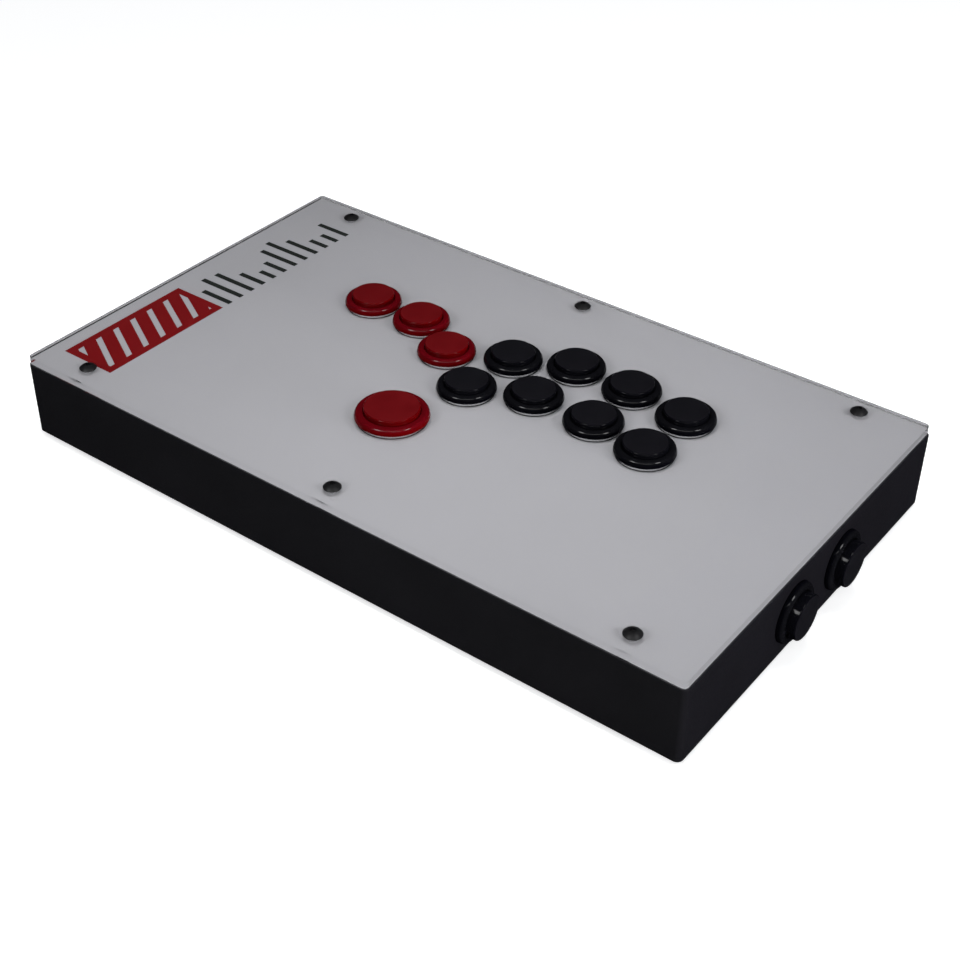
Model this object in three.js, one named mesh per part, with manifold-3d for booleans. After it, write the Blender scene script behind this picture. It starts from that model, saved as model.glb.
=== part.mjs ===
// An all-button arcade controller: a folded steel case with a clear cover screwed over a white art
// sheet, twelve snap-in push buttons on top and two on the right-hand end wall.
// Millimetres, +Z up, +X to the player's right, +Y away from the player. The origin is at the middle
// of the outline (side buttons included), on the surface that the rubber feet stand on.

import * as THREE from 'three';
import { mergeVertices } from 'three/addons/utils/BufferGeometryUtils.js';
import Module from 'manifold-3d';

const wasm = await Module();
wasm.setup();

// ---------------------------------------------------------------- driving dimensions
const GAP = 0.3;                       // clearance round screws, plates and sockets
const CASE = { width: 362, depth: 208.5, height: 37.5, wall: 1.5, corner: 2 };
const FOOT = { topRadius: 8, bottomRadius: 7, height: 3, inset: 19, sides: 16 };
const ART = { thickness: 0.25, inset: 0.5, clearance: 1.8 };  // cut a little smaller than the cover
const COVER = { width: 360, depth: 207.5, thickness: 4, corner: 3, inset: 0, clearance: 0.8 };

// A push button is a snap-in body with a bezel, a plunger that slides in it, and a switch under it.
// Heights along the button's axis are from the face that the bezel sits on.
const SMALL = { hole: 12, flange: 14, barrel: 11.7, bore: 10.6, plunger: 10.3 };
const LARGE = { hole: 15, flange: 17.1, barrel: 14.7, bore: 13.15, plunger: 12.85 };
const BUTTON_SIDES = 16;
const BEZEL = { height: 3, rim: 1.2, shoulder: 1.4, lip: 0.2 };
const TOP_RISE = 5.25;                 // plunger face above the cover
const SIDE_RISE = 7;                   // plunger face beyond the end wall
const TRAVEL = 2;
const WEB = { top: -6.5, bottom: -8.5, hole: 4.4 };     // web inside the body that guides the stem
const BARREL = { bottom: -19, wall: 1.5 };
const PLUNGER = { edge: 0.5, wall: 1.6, stem: 3.9, catch: 4.9, tip: 1.5 };
const SWITCH = { length: 12.75, width: 6.5, top: -13.25, well: 2 };
const CARRIER = { rim: 1.5, plug: 2.5, sides: 8 };      // holds the switch in the barrel's mouth

// Button centres from the middle of the cover: the left hand's three, the thumb's, and two rows.
const TOP_BUTTONS = [
  { name: 'left', x: -84, y: 33.5, size: SMALL, colour: 'red' },
  { name: 'down', x: -54, y: 33.75, size: SMALL, colour: 'red' },
  { name: 'right', x: -27.5, y: 19.75, size: SMALL, colour: 'red' },
  { name: 'jump', x: -14, y: -37, size: LARGE, colour: 'red' },
  { name: 'upper_1', x: 1.75, y: 33, size: SMALL, colour: 'black' },
  { name: 'upper_2', x: 29.25, y: 45.25, size: SMALL, colour: 'black' },
  { name: 'upper_3', x: 60, y: 45, size: SMALL, colour: 'black' },
  { name: 'upper_4', x: 91.25, y: 41, size: SMALL, colour: 'black' },
  { name: 'lower_1', x: -1.25, y: 1, size: SMALL, colour: 'black' },
  { name: 'lower_2', x: 27.5, y: 13.5, size: SMALL, colour: 'black' },
  { name: 'lower_3', x: 60, y: 13.75, size: SMALL, colour: 'black' },
  { name: 'lower_4', x: 90, y: 9.25, size: SMALL, colour: 'black' },
];
const SIDE_BUTTONS = [{ name: 'side_front', y: -20 }, { name: 'side_rear', y: 22 }];
const SIDE_BUTTON_HEIGHT = 18.5;       // axis above the case's lower edge

// M4 button-head screws through the cover into nuts welded under the case's top.
const SCREW = { x: 150, y: 93.5, shank: 2, length: 10, head: 4, headHeight: 2.2, sides: 12 };
const SCREW_SOCKET = { radius: 1.45, depth: 1.25 };
const WELD_NUT = { radius: 4, height: 3, sides: 8 };
// M3 screws hold the base plate up against tabs welded to the case's long walls.
const BASE_SCREW = { x: 150, inset: 7, hole: 1.7, sides: 8 };
const TAB = { width: 14, reach: 11, thickness: 1.5 };

// Controller board on four pillars under the case's top, with its USB-C socket at the rear wall.
const BOARD = { x: -105, width: 60, depth: 38, thickness: 1.5, top: 19.5, rearGap: 1.25 };
const PILLAR = { radius: 2.5, inset: 4, sides: 8 };
const SOCKET = { width: 9, height: 3.25, depth: 7.5, wall: 0.5, tongue: 0.75, mouth: 6.5 };
const CHIP = { size: 10, height: 1.25 };
const HEADER = { width: 44, depth: 5, height: 6 };

// Wire loom from the board to the side buttons, passing under the others; from the case's middle.
const LOOM_RADIUS = 2;
const LOOM_STEPS = 24;
const LOOM_ROUTE = [
  [-105, 67, 9.5], [-96, 48, 8.5], [-78, 34, 8.5], [-45, 24, 8.5], [-10, 18, 8.5],
  [30, 29, 8.5], [70, 29, 8.5], [110, 20, 8.5], [136, 6, 11], [148, 1, 18],
];

// ---------------------------------------------------------------- levels and places
const caseTop = FOOT.height + CASE.height;
const ceiling = caseTop - CASE.wall;
const coverBottom = caseTop + ART.thickness;
const coverTop = coverBottom + COVER.thickness;
const baseTop = FOOT.height + CASE.wall;
const middleX = -SIDE_RISE / 2;        // the side plungers count in the outline
const endWallX = middleX + CASE.width / 2;
const innerDepth = CASE.depth - 2 * CASE.wall;
const innerWidth = CASE.width - 2 * CASE.wall;

const coverScrews = [-1, 0, 1].flatMap((i) => [-1, 1].map((j) => ({
  x: middleX + i * SCREW.x, y: j * SCREW.y,
})));
const baseScrews = [-1, 0, 1].flatMap((i) => [-1, 1].map((side) => ({
  x: middleX + i * BASE_SCREW.x, side, y: side * (CASE.depth / 2 - BASE_SCREW.inset),
})));
const board = {
  x: middleX + BOARD.x,
  y: innerDepth / 2 - BOARD.rearGap - BOARD.depth / 2,
  z: BOARD.top - BOARD.thickness / 2,
};
const pillars = [-1, 1].flatMap((i) => [-1, 1].map((j) => ({
  x: board.x + i * (BOARD.width / 2 - PILLAR.inset),
  y: board.y + j * (BOARD.depth / 2 - PILLAR.inset),
})));
const socketZ = BOARD.top + SOCKET.height / 2;

// ---------------------------------------------------------------- materials
const finish = (color, roughness, metalness = 0) =>
  new THREE.MeshStandardMaterial({ color, roughness, metalness });
const materials = {
  case: finish(0x18181a, 0.6, 0.2),
  cover: finish(0xe6e8ea, 0.08),
  art: finish(0xd8d8da, 0.7),
  red: { body: finish(0xa00a12, 0.12), plunger: finish(0xa01218, 0.45) },
  black: { body: finish(0x0c0c0e, 0.12), plunger: finish(0x18181b, 0.45) },
  switch: finish(0x202024, 0.5),
  screw: finish(0x111113, 0.35, 0.8),
  rubber: finish(0x141414, 0.9),
  board: finish(0x12552e, 0.5),
  socket: finish(0xb8bcc0, 0.3, 1),
  wire: finish(0x1c1c1e, 0.6),
};

// ---------------------------------------------------------------- outlines and solids
const circle = (x, y, radius, sides) => Array.from({ length: sides }, (_, i) => {
  const angle = (i / sides) * 2 * Math.PI;
  return new THREE.Vector2(x + radius * Math.cos(angle), y + radius * Math.sin(angle));
});

const ARC_STEPS = 3;
function roundedRectangle(width, depth, radius) {
  const corners = [[1, 1], [-1, 1], [-1, -1], [1, -1]];
  return corners.flatMap(([sx, sy], quarter) => Array.from({ length: ARC_STEPS + 1 }, (_, i) => {
    const angle = (quarter + i / ARC_STEPS) * Math.PI / 2;
    return new THREE.Vector2(
      middleX + sx * (width / 2 - radius) + radius * Math.cos(angle),
      sy * (depth / 2 - radius) + radius * Math.sin(angle),
    );
  }));
}

function prism(outline, bottom, top, holes = []) {
  const shape = new THREE.Shape(outline);
  shape.holes = holes.map((points) => new THREE.Path(points));
  const geometry = new THREE.ExtrudeGeometry(shape, { depth: top - bottom, bevelEnabled: false });
  return geometry.translate(0, 0, bottom);
}

const box = (width, depth, height, x, y, z) =>
  new THREE.BoxGeometry(width, depth, height).translate(x, y, z);

// A closed skin through outlines of equal count at rising heights, with flat ends.
function loft(levels) {
  const count = levels[0].outline.length;
  const last = (levels.length - 1) * count;
  const index = [];
  for (let start = 0; start < last; start += count) {
    for (let i = 0; i < count; i += 1) {
      const a = start + i;
      const b = start + (i + 1) % count;
      index.push(a, b, b + count, a, b + count, a + count);
    }
  }
  for (let i = 1; i < count - 1; i += 1) index.push(0, i + 1, i, last, last + i, last + i + 1);
  const positions = levels.flatMap(({ outline, z }) => outline.flatMap((p) => [p.x, p.y, z]));
  const geometry = new THREE.BufferGeometry();
  geometry.setAttribute('position', new THREE.Float32BufferAttribute(positions, 3));
  geometry.setIndex(index);
  return geometry;
}

// Turns a profile of [radius, height] pairs about the Z axis. It runs up the outside.
function revolve(profile, sides) {
  const points = profile.map(([radius, height]) => new THREE.Vector2(radius, height));
  return new THREE.LatheGeometry(points, sides).rotateX(Math.PI / 2);
}
const ring = (profile, sides) => revolve([...profile, profile[0]], sides);

function solid(geometry) {
  const bare = geometry.clone();
  bare.deleteAttribute('normal');
  bare.deleteAttribute('uv');
  const merged = mergeVertices(bare, 1e-4);
  const corners = merged.index.array;
  const triangles = [];
  for (let i = 0; i < corners.length; i += 3) {
    const [a, b, c] = corners.slice(i, i + 3);
    if (a !== b && b !== c && c !== a) triangles.push(a, b, c);
  }
  return new wasm.Manifold(new wasm.Mesh({
    numProp: 3,
    vertProperties: new Float32Array(merged.attributes.position.array),
    triVerts: new Uint32Array(triangles),
  }));
}

const join = (base, pieces) => pieces.reduce((sum, piece) => sum.add(solid(piece)), base);
const cut = (base, pieces) => pieces.reduce((rest, piece) => rest.subtract(solid(piece)), base);

function geometryOf(manifold) {
  const { vertProperties, triVerts, numProp } = manifold.getMesh();
  const positions = [];
  for (let i = 0; i < vertProperties.length; i += numProp) {
    positions.push(...vertProperties.slice(i, i + 3));
  }
  const geometry = new THREE.BufferGeometry();
  geometry.setAttribute('position', new THREE.Float32BufferAttribute(positions, 3));
  geometry.setIndex([...triVerts]);
  return geometry;
}

const group = new THREE.Group();
function add(name, geometry, material, parent = group) {
  const mesh = new THREE.Mesh(geometry, material);
  mesh.name = name;
  parent.add(mesh);
  return mesh;
}

// ---------------------------------------------------------------- case, sheets and base
function caseShell() {
  const bend = CASE.wall;
  const lean = bend * (1 - Math.SQRT1_2);
  const level = (z, inset) => ({
    z,
    outline: roundedRectangle(CASE.width - 2 * inset, CASE.depth - 2 * inset, CASE.corner - inset / 2),
  });
  const outer = loft([
    level(FOOT.height, 0), level(caseTop - bend, 0), level(caseTop - lean, lean), level(caseTop, bend),
  ]);
  const hollow = box(innerWidth, innerDepth, CASE.height, middleX, 0, ceiling - CASE.height / 2);
  const attached = [
    ...coverScrews.map(({ x, y }) =>
      prism(circle(x, y, WELD_NUT.radius, WELD_NUT.sides), ceiling - WELD_NUT.height, caseTop - 0.5)),
    ...pillars.map(({ x, y }) =>
      prism(circle(x, y, PILLAR.radius, PILLAR.sides), BOARD.top, caseTop - 0.5)),
    ...baseScrews.map(({ x, side }) => box(TAB.width, TAB.reach, TAB.thickness,
      x, side * (CASE.depth / 2 - 0.5 - TAB.reach / 2), baseTop + TAB.thickness / 2)),
  ];
  const holes = [
    ...TOP_BUTTONS.map(({ x, y, size }) =>
      prism(circle(middleX + x, y, size.hole, BUTTON_SIDES), ceiling - 1, caseTop + 1)),
    ...SIDE_BUTTONS.map(({ y }) => prism(circle(0, 0, SMALL.hole, BUTTON_SIDES), -CASE.wall - 1, 1)
      .rotateY(Math.PI / 2).translate(endWallX, y, FOOT.height + SIDE_BUTTON_HEIGHT)),
    ...coverScrews.map(({ x, y }) =>
      prism(circle(x, y, SCREW.shank + GAP, SCREW.sides), ceiling - WELD_NUT.height - 1, caseTop + 1)),
    ...baseScrews.map(({ x, y }) =>
      prism(circle(x, y, BASE_SCREW.hole, BASE_SCREW.sides), baseTop - 1, baseTop + TAB.thickness + 1)),
    box(SOCKET.width + 2 * GAP, 2 * CASE.wall + 1, SOCKET.height + 2 * GAP,
      board.x, CASE.depth / 2, socketZ),
  ];
  return geometryOf(cut(join(cut(solid(outer), [hollow]), attached), holes));
}

// A sheet over the case's top, with the holes that the buttons and the cover screws pass through.
function topSheet({ inset, clearance }, bottom, top) {
  const outline = roundedRectangle(COVER.width - 2 * inset, COVER.depth - 2 * inset, COVER.corner - inset);
  return prism(outline, bottom, top, [
    ...TOP_BUTTONS.map(({ x, y, size }) => circle(middleX + x, y, size.hole + clearance, BUTTON_SIDES)),
    ...coverScrews.map(({ x, y }) => circle(x, y, SCREW.shank + GAP, SCREW.sides)),
  ]);
}

function basePlate() {
  const outline = roundedRectangle(innerWidth - 2 * GAP, innerDepth - 2 * GAP, 1);
  const holes = baseScrews.map(({ x, y }) => circle(x, y, BASE_SCREW.hole, BASE_SCREW.sides));
  return prism(outline, FOOT.height, baseTop, holes);
}

function coverScrew() {
  const { shank, head, headHeight, length } = SCREW;
  const profile = [
    [0, -length], [shank, -length], [shank, 0], [head, 0], [0.95 * head, 0.3 * headHeight],
    [0.75 * head, 0.75 * headHeight], [0.45 * head, headHeight], [0, headHeight],
  ];
  const socket = prism(circle(0, 0, SCREW_SOCKET.radius, 6), headHeight - SCREW_SOCKET.depth,
    headHeight + 1);
  return geometryOf(cut(solid(revolve(profile, SCREW.sides)), [socket]));
}

function foot() {
  const profile = [[0, 0], [FOOT.bottomRadius, 0], [FOOT.topRadius, FOOT.height], [0, FOOT.height]];
  return revolve(profile, FOOT.sides);
}

add('case_shell', caseShell(), materials.case);
add('art_sheet', topSheet(ART, caseTop, coverBottom), materials.art);
add('clear_cover', topSheet(COVER, coverBottom, coverTop), materials.cover);
add('base_plate', basePlate(), materials.case);

coverScrews.forEach(({ x, y }, i) => {
  add(`cover_screw_${i + 1}`, coverScrew(), materials.screw).position.set(x, y, coverTop);
});

[[-1, -1], [1, -1], [-1, 1], [1, 1]].forEach(([i, j], n) => {
  add(`foot_${n + 1}`, foot(), materials.rubber).position.set(
    middleX + i * (CASE.width / 2 - FOOT.inset), j * (CASE.depth / 2 - FOOT.inset), 0,
  );
});

// ---------------------------------------------------------------- push buttons
// The body: bezel, barrel and the web that guides the plunger's stem.
function buttonBody({ flange, barrel, bore }) {
  const cavity = barrel - BARREL.wall;
  return ring([
    [barrel, BARREL.bottom], [barrel, 0], [flange, 0], [flange, BEZEL.rim],
    [flange - BEZEL.shoulder, BEZEL.height], [bore, BEZEL.height - BEZEL.lip], [bore, WEB.top],
    [WEB.hole, WEB.top], [WEB.hole, WEB.bottom], [cavity, WEB.bottom], [cavity, BARREL.bottom],
  ], BUTTON_SIDES);
}

// The plunger: a hollow cap with a stem, a catch that holds it under the web, and a tip that
// works the switch.
function buttonPlunger({ plunger }, rise) {
  const { edge, wall, stem, catch: hook, tip } = PLUNGER;
  const skirt = WEB.top + TRAVEL + GAP;
  const hookTop = WEB.bottom - GAP;
  const tipBottom = SWITCH.top + GAP;
  const tipTop = tipBottom + TRAVEL;
  return revolve([
    [0, tipBottom], [tip, tipBottom], [tip, tipTop], [hook, hookTop - 1], [hook, hookTop],
    [stem, hookTop], [stem, rise - wall], [plunger - wall, rise - wall], [plunger - wall, skirt],
    [plunger, skirt], [plunger, rise - edge], [plunger - edge, rise], [0, rise],
  ], BUTTON_SIDES);
}

// The switch: a round carrier whose rim closes the barrel and whose plug snaps inside it, under a
// block that holds the contacts, with a well that the plunger's tip enters.
function buttonSwitch({ barrel }) {
  const { bottom, wall } = BARREL;
  const rim = prism(circle(0, 0, barrel - GAP, CARRIER.sides), bottom - CARRIER.rim, bottom);
  const plug = prism(circle(0, 0, barrel - wall - GAP, CARRIER.sides), bottom - 0.5,
    bottom + CARRIER.plug);
  const block = box(SWITCH.length, SWITCH.width, SWITCH.top - bottom, 0, 0, (SWITCH.top + bottom) / 2);
  const well = prism(circle(0, 0, SWITCH.well, 8), SWITCH.top - TRAVEL, SWITCH.top + 1);
  return geometryOf(cut(join(solid(rim), [plug, block]), [well]));
}

function pushButton(name, size, colour, rise) {
  const button = new THREE.Group();
  add(`${name}_body`, buttonBody(size), materials[colour].body, button);
  add(`${name}_plunger`, buttonPlunger(size, rise), materials[colour].plunger, button);
  add(`${name}_switch`, buttonSwitch(size), materials.switch, button);
  group.add(button);
  return button;
}

for (const { name, x, y, size, colour } of TOP_BUTTONS) {
  pushButton(name, size, colour, TOP_RISE).position.set(middleX + x, y, coverTop);
}
for (const { name, y } of SIDE_BUTTONS) {
  const button = pushButton(name, SMALL, 'black', SIDE_RISE);
  button.position.set(endWallX, y, FOOT.height + SIDE_BUTTON_HEIGHT);
  button.rotation.y = Math.PI / 2;
}

// ---------------------------------------------------------------- electronics
function controllerBoard() {
  const plate = box(BOARD.width, BOARD.depth, BOARD.thickness, board.x, board.y, board.z);
  const under = BOARD.top - BOARD.thickness;
  const chip = box(CHIP.size, CHIP.size, CHIP.height + 0.5,
    board.x, board.y + 3, under + (0.5 - CHIP.height) / 2);
  const header = box(HEADER.width, HEADER.depth, HEADER.height + 0.5,
    board.x, board.y - BOARD.depth / 2 + 1 + HEADER.depth / 2, under + (0.5 - HEADER.height) / 2);
  return geometryOf(join(solid(plate), [chip, header]));
}

// A shell open at the rear, with the tongue that carries the contacts inside it.
function usbSocket() {
  const { width, height, depth, wall, tongue, mouth } = SOCKET;
  const rear = CASE.depth / 2;
  const shell = box(width, depth, height, board.x, rear - depth / 2, socketZ);
  const hollow = box(width - 2 * wall, mouth + 1, height - 2 * wall,
    board.x, rear + 1 - (mouth + 1) / 2, socketZ);
  const blade = box(width - 4 * wall, mouth, tongue, board.x, rear - 1 - mouth / 2, socketZ);
  return geometryOf(join(cut(solid(shell), [hollow]), [blade]));
}

function wireLoom() {
  const path = new THREE.CatmullRomCurve3(
    LOOM_ROUTE.map(([x, y, z]) => new THREE.Vector3(middleX + x, y, z)),
  );
  const section = new THREE.Shape(circle(0, 0, LOOM_RADIUS, 8));
  return new THREE.ExtrudeGeometry(section, { steps: LOOM_STEPS, extrudePath: path });
}

add('controller_board', controllerBoard(), materials.board);
add('usb_socket', usbSocket(), materials.socket);
add('wire_loom', wireLoom(), materials.wire);

export default group;
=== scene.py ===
"""Looks of the all-button arcade controller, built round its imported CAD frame.

Shapes are written in millimetres and become metres when a mesh is made. +X is the player's right,
+Y is away from the player and +Z is up.
"""
import math

import bmesh
import bpy
from mathutils import Matrix, Vector
from mathutils.geometry import tessellate_polygon


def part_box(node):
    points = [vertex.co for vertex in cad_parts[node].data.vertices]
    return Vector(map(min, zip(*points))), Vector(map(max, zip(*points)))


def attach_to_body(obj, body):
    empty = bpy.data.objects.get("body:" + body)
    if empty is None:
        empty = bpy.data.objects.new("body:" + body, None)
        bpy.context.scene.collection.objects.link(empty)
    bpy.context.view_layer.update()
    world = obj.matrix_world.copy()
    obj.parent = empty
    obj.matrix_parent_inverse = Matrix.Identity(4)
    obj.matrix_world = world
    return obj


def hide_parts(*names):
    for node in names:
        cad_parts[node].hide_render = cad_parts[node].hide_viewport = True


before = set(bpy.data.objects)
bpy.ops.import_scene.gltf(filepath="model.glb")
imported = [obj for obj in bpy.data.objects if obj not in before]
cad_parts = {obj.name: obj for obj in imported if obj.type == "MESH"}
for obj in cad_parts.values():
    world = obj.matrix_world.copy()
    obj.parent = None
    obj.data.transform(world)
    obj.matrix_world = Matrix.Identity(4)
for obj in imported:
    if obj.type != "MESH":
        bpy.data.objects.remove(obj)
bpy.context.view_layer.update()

MM = 0.001

# ------------------------------------------------------------------ measures, in millimetres
RED_BUTTONS = ("left", "down", "right", "jump")
BLACK_BUTTONS = ("upper_1", "upper_2", "upper_3", "upper_4", "lower_1", "lower_2", "lower_3", "lower_4")
SIDE_BUTTONS = ("side_front", "side_rear")
TOP_BUTTONS = RED_BUTTONS + BLACK_BUTTONS
LARGE_BUTTONS = ("jump",)

# Radii of the two sizes of button. Heights along a button are from the face its bezel sits on.
SMALL = {"hole": 12.0, "flange": 14.0, "barrel": 11.7, "bore": 10.6, "plunger": 10.3}
LARGE = {"hole": 15.0, "flange": 17.1, "barrel": 14.7, "bore": 13.15, "plunger": 12.85}
TOP_RISE, SIDE_RISE = 5.25, 7.0
BARREL_BOTTOM, BARREL_WALL = -19.0, 1.5
WEB_TOP, WEB_BOTTOM, WEB_HOLE = -6.5, -8.5, 4.4
BEZEL_TOP, BEZEL_EDGE, BEZEL_SHOULDER = 3.0, 0.3, 1.7
PLUNGER_WALL, PLUNGER_SAG, SKIRT_BOTTOM = 1.6, 0.12, -4.2
STEM_RADIUS, CATCH_RADIUS, CATCH_TOP, CATCH_BOTTOM = 3.9, 4.9, -8.8, -9.8
TIP_RADIUS, TIP_TOP, TIP_BOTTOM = 1.5, -10.95, -12.95
TERMINAL_X = 2.6                    # from the button's axis, to either side
LATHE_STEPS = 96

# Corners are radii, and clearances are added to the radius of a button's hole.
CASE_CORNER, CASE_WALL, CASE_BEND = 3.0, 1.5, 0.5
COVER_CORNER, COVER_CLEARANCE = 2.0, 0.8
ART_CORNER, ART_CLEARANCE = 1.6, 1.2
SCREW_HOLE, SCREW_HOLE_STEPS = 2.3, 32
NUT_RADIUS, NUT_HEIGHT = 4, 3
PILLAR_RADIUS, PILLAR_INSET = 2.5, 4
TAB_WIDTH, TAB_REACH, TAB_THICKNESS, TAB_INSET = 14, 11, 1.5, 6
BASE_SCREW_SPACING, BASE_SCREW_INSET, BASE_SCREW_HOLE = 150, 7, 1.7
LOOM_RADIUS, LEAD_RADIUS = 2.0, 0.6
GAP = 0.3                           # round the socket


# ------------------------------------------------------------------ places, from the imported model
def box_mm(node):
    low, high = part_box(node)
    return low / MM, high / MM


case_low, case_high = box_mm("case_shell")
cover_low, cover_high = box_mm("clear_cover")
art_low, art_high = box_mm("art_sheet")
base_low, base_high = box_mm("base_plate")
case_middle = (case_low + case_high) / 2
case_width = case_high.x - case_low.x
case_depth = case_high.y - case_low.y
ceiling = case_high.z - CASE_WALL


def button_size(name):
    return LARGE if name in LARGE_BUTTONS else SMALL


def button_colour(name):
    return "red" if name in RED_BUTTONS else "black"


def button_place(name):
    """Where the bezel sits, with +Z out of the panel."""
    low, high = box_mm(f"{name}_body")
    middle = (low + high) / 2
    if name in SIDE_BUTTONS:
        spot = Vector((case_high.x, middle.y, middle.z))
        return Matrix.Translation(spot * MM) @ Matrix.Rotation(math.pi / 2, 4, "Y")
    return Matrix.Translation(Vector((middle.x, middle.y, cover_high.z)) * MM)


def middle_xy(node):
    low, high = box_mm(node)
    return (low.x + high.x) / 2, (low.y + high.y) / 2


cover_screw_spots = [middle_xy(f"cover_screw_{i}") for i in range(1, 7)]
foot_spots = [middle_xy(f"foot_{i}") for i in range(1, 5)]
base_screw_spots = [(case_middle.x + i * BASE_SCREW_SPACING, side * (case_depth / 2 - BASE_SCREW_INSET))
                    for i in (-1, 0, 1) for side in (-1, 1)]


# ------------------------------------------------------------------ outlines and meshes
def rounded(corners, steps=6):
    """Points of an outline whose corners are (x, y, radius of the rounding)."""
    points = []
    for i, (x, y, radius) in enumerate(corners):
        here = Vector((x, y))
        if not radius:
            points.append(here)
            continue
        before = (Vector(corners[i - 1][:2]) - here).normalized()
        after = (Vector(corners[(i + 1) % len(corners)][:2]) - here).normalized()
        half = before.angle(after) / 2
        centre = here + (before + after).normalized() * radius / math.sin(half)
        start = here + before * radius / math.tan(half) - centre
        end = here + after * radius / math.tan(half) - centre
        turn = math.atan2(start.cross(end), start.dot(end))
        points += [centre + Matrix.Rotation(turn * k / steps, 2) @ start for k in range(steps + 1)]
    return points


def circle(x, y, radius, steps=LATHE_STEPS):
    return [Vector((x + radius * math.cos(k * math.tau / steps),
                    y + radius * math.sin(k * math.tau / steps))) for k in range(steps)]


def rectangle(x, y, width, depth, corner, steps=8):
    a, b = width / 2, depth / 2
    return rounded([(x - a, y - b, corner), (x + a, y - b, corner),
                    (x + a, y + b, corner), (x - a, y + b, corner)], steps)


def lathe(profile, steps=LATHE_STEPS):
    """A shell turned about Z from (radius, height) points. Off the axis at both ends, it's a ring."""
    on_axis = 1e-6
    vertices, rings = [], []
    for radius, height in profile:
        count = steps if radius > on_axis else 1
        rings.append(range(len(vertices), len(vertices) + count))
        vertices += [(radius * math.cos(k * math.tau / steps), radius * math.sin(k * math.tau / steps),
                      height) for k in range(count)]
    pairs = list(zip(rings, rings[1:]))
    if len(rings[0]) > 1 and len(rings[-1]) > 1:
        pairs.append((rings[-1], rings[0]))
    faces = []
    for low, high in pairs:
        for k in range(steps):
            a, b = low[k % len(low)], low[(k + 1) % len(low)]
            c, d = high[(k + 1) % len(high)], high[k % len(high)]
            face = list(dict.fromkeys((a, b, c, d)))
            if len(face) > 2:
                faces.append(face)
    return vertices, faces


def slab(outlines, levels):
    """A shell between flat caps. outlines are functions that take an inset and give a loop, the
    outer one first and then the holes. levels are (height, inset), from the bottom up."""
    vertices, faces, loops = [], [], []
    for height, inset in levels:
        row = []
        for outline in outlines:
            points = outline(inset)
            row.append(range(len(vertices), len(vertices) + len(points)))
            vertices += [(x, y, height) for x, y in points]
        loops.append(row)
    for low_row, high_row in zip(loops, loops[1:]):
        for low, high in zip(low_row, high_row):
            count = len(low)
            faces += [(low[k], low[(k + 1) % count], high[(k + 1) % count], high[k])
                      for k in range(count)]
    for row in (loops[0], loops[-1]):
        flat = [index for loop in row for index in loop]
        polygons = [[Vector(vertices[index]) for index in loop] for loop in row]
        faces += [tuple(flat[k] for k in triangle) for triangle in tessellate_polygon(polygons)]
    return vertices, faces


def block(x, y, z, width, depth, height, edge=0.15):
    """A box with its edges taken off."""
    return slab([lambda inset: rectangle(x, y, width - 2 * inset, depth - 2 * inset, edge, 2)],
                [(z - height / 2, edge), (z - height / 2 + edge, 0),
                 (z + height / 2 - edge, 0), (z + height / 2, edge)])


def moved(shell, matrix):
    """The shell after a move or turn."""
    return [matrix @ Vector(v) for v in shell[0]], shell[1]


def mesh_of(name, shells):
    """One mesh from shells, in metres, with its faces outward."""
    work = bmesh.new()
    for vertices, faces in shells:
        made = [work.verts.new(Vector(v) * MM) for v in vertices]
        for face in faces:
            work.faces.new([made[k] for k in face])
    bmesh.ops.recalc_face_normals(work, faces=work.faces)
    mesh = bpy.data.meshes.new(name)
    work.to_mesh(mesh)
    work.free()
    return mesh


def object_of(name, shells):
    """A new object in the scene, made from shells."""
    thing = bpy.data.objects.new(name, mesh_of(name, shells))
    bpy.context.scene.collection.objects.link(thing)
    return thing


def apply_modifiers(thing):
    """Turns the result of a piece's modifiers into its mesh."""
    bpy.context.view_layer.update()
    graph = bpy.context.evaluated_depsgraph_get()
    mesh = bpy.data.meshes.new_from_object(thing.evaluated_get(graph))
    thing.modifiers.clear()
    thing.data = mesh


def boolean(thing, operation, shells):
    """Joins shells to thing or cuts them out of it."""
    tool = object_of("tool", shells)
    step = thing.modifiers.new("boolean", "BOOLEAN")
    step.operation, step.solver, step.object = operation, "EXACT", tool
    apply_modifiers(thing)
    bpy.data.objects.remove(tool)


def finish_shape(thing, sharp=35, weighted=False):
    """Smooth shading that stops at edges sharper than the angle, in degrees."""
    thing.data.shade_smooth()
    thing.data.set_sharp_from_angle(angle=math.radians(sharp))
    if weighted:
        step = thing.modifiers.new("flat faces stay flat", "WEIGHTED_NORMAL")
        step.keep_sharp, step.weight = True, 100
        apply_modifiers(thing)


def attach(thing, material, nodes=(), body="case", place=None):
    """Gives a piece its material, its place and its body, and hides the nodes it stands for."""
    thing.data.materials.clear()
    thing.data.materials.append(material)
    if place is not None:
        thing.matrix_world = place
    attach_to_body(thing, body)
    if nodes:
        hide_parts(*nodes)


# ------------------------------------------------------------------ materials
def shade(colour, factor):
    return tuple(factor * c for c in colour)


def per_metre(size_mm):
    """A texture's scale, from the size of its features."""
    return 1000 / size_mm


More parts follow.
